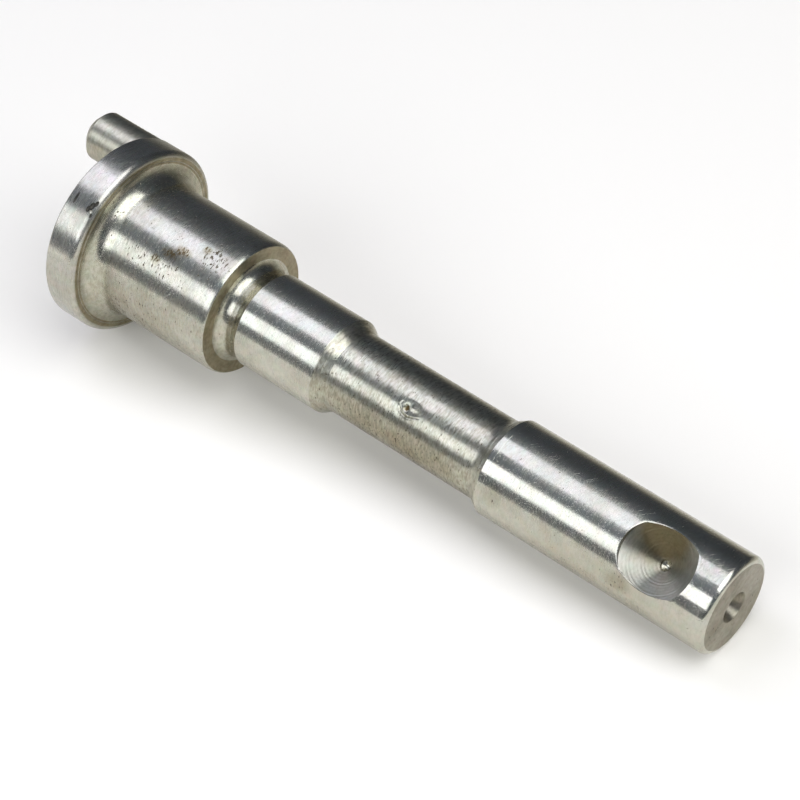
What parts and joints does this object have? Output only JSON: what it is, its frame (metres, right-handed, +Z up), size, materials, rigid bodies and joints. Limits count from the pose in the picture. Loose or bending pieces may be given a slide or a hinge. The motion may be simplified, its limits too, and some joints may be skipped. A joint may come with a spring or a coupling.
{
  "type": "eccentric shaft",
  "caption": "Stepped steel shaft, turned in one piece, with a flange and an eccentric pin at one end and a drilled set-screw seat near the other.",
  "frame": {"origin": "on the floor under the middle of the bounding box, with the shaft lying as it rests: flange rim and tail edge on the floor", "axes": "+X towards the tail end, along the shaft seen from above; the shaft itself dips 3.9 degrees towards +X; +Z up; the eccentric pin is at the -X end, on the +Y side"},
  "size_m": [0.1182, 0.028, 0.0282],
  "materials": {
    "turned_steel": "turned and ground steel with a dull polish, a little staining and a few dents"
  },
  "bodies": {
    "root": {"eccentric_shaft": "turned_steel"}
  },
  "joints": []
}
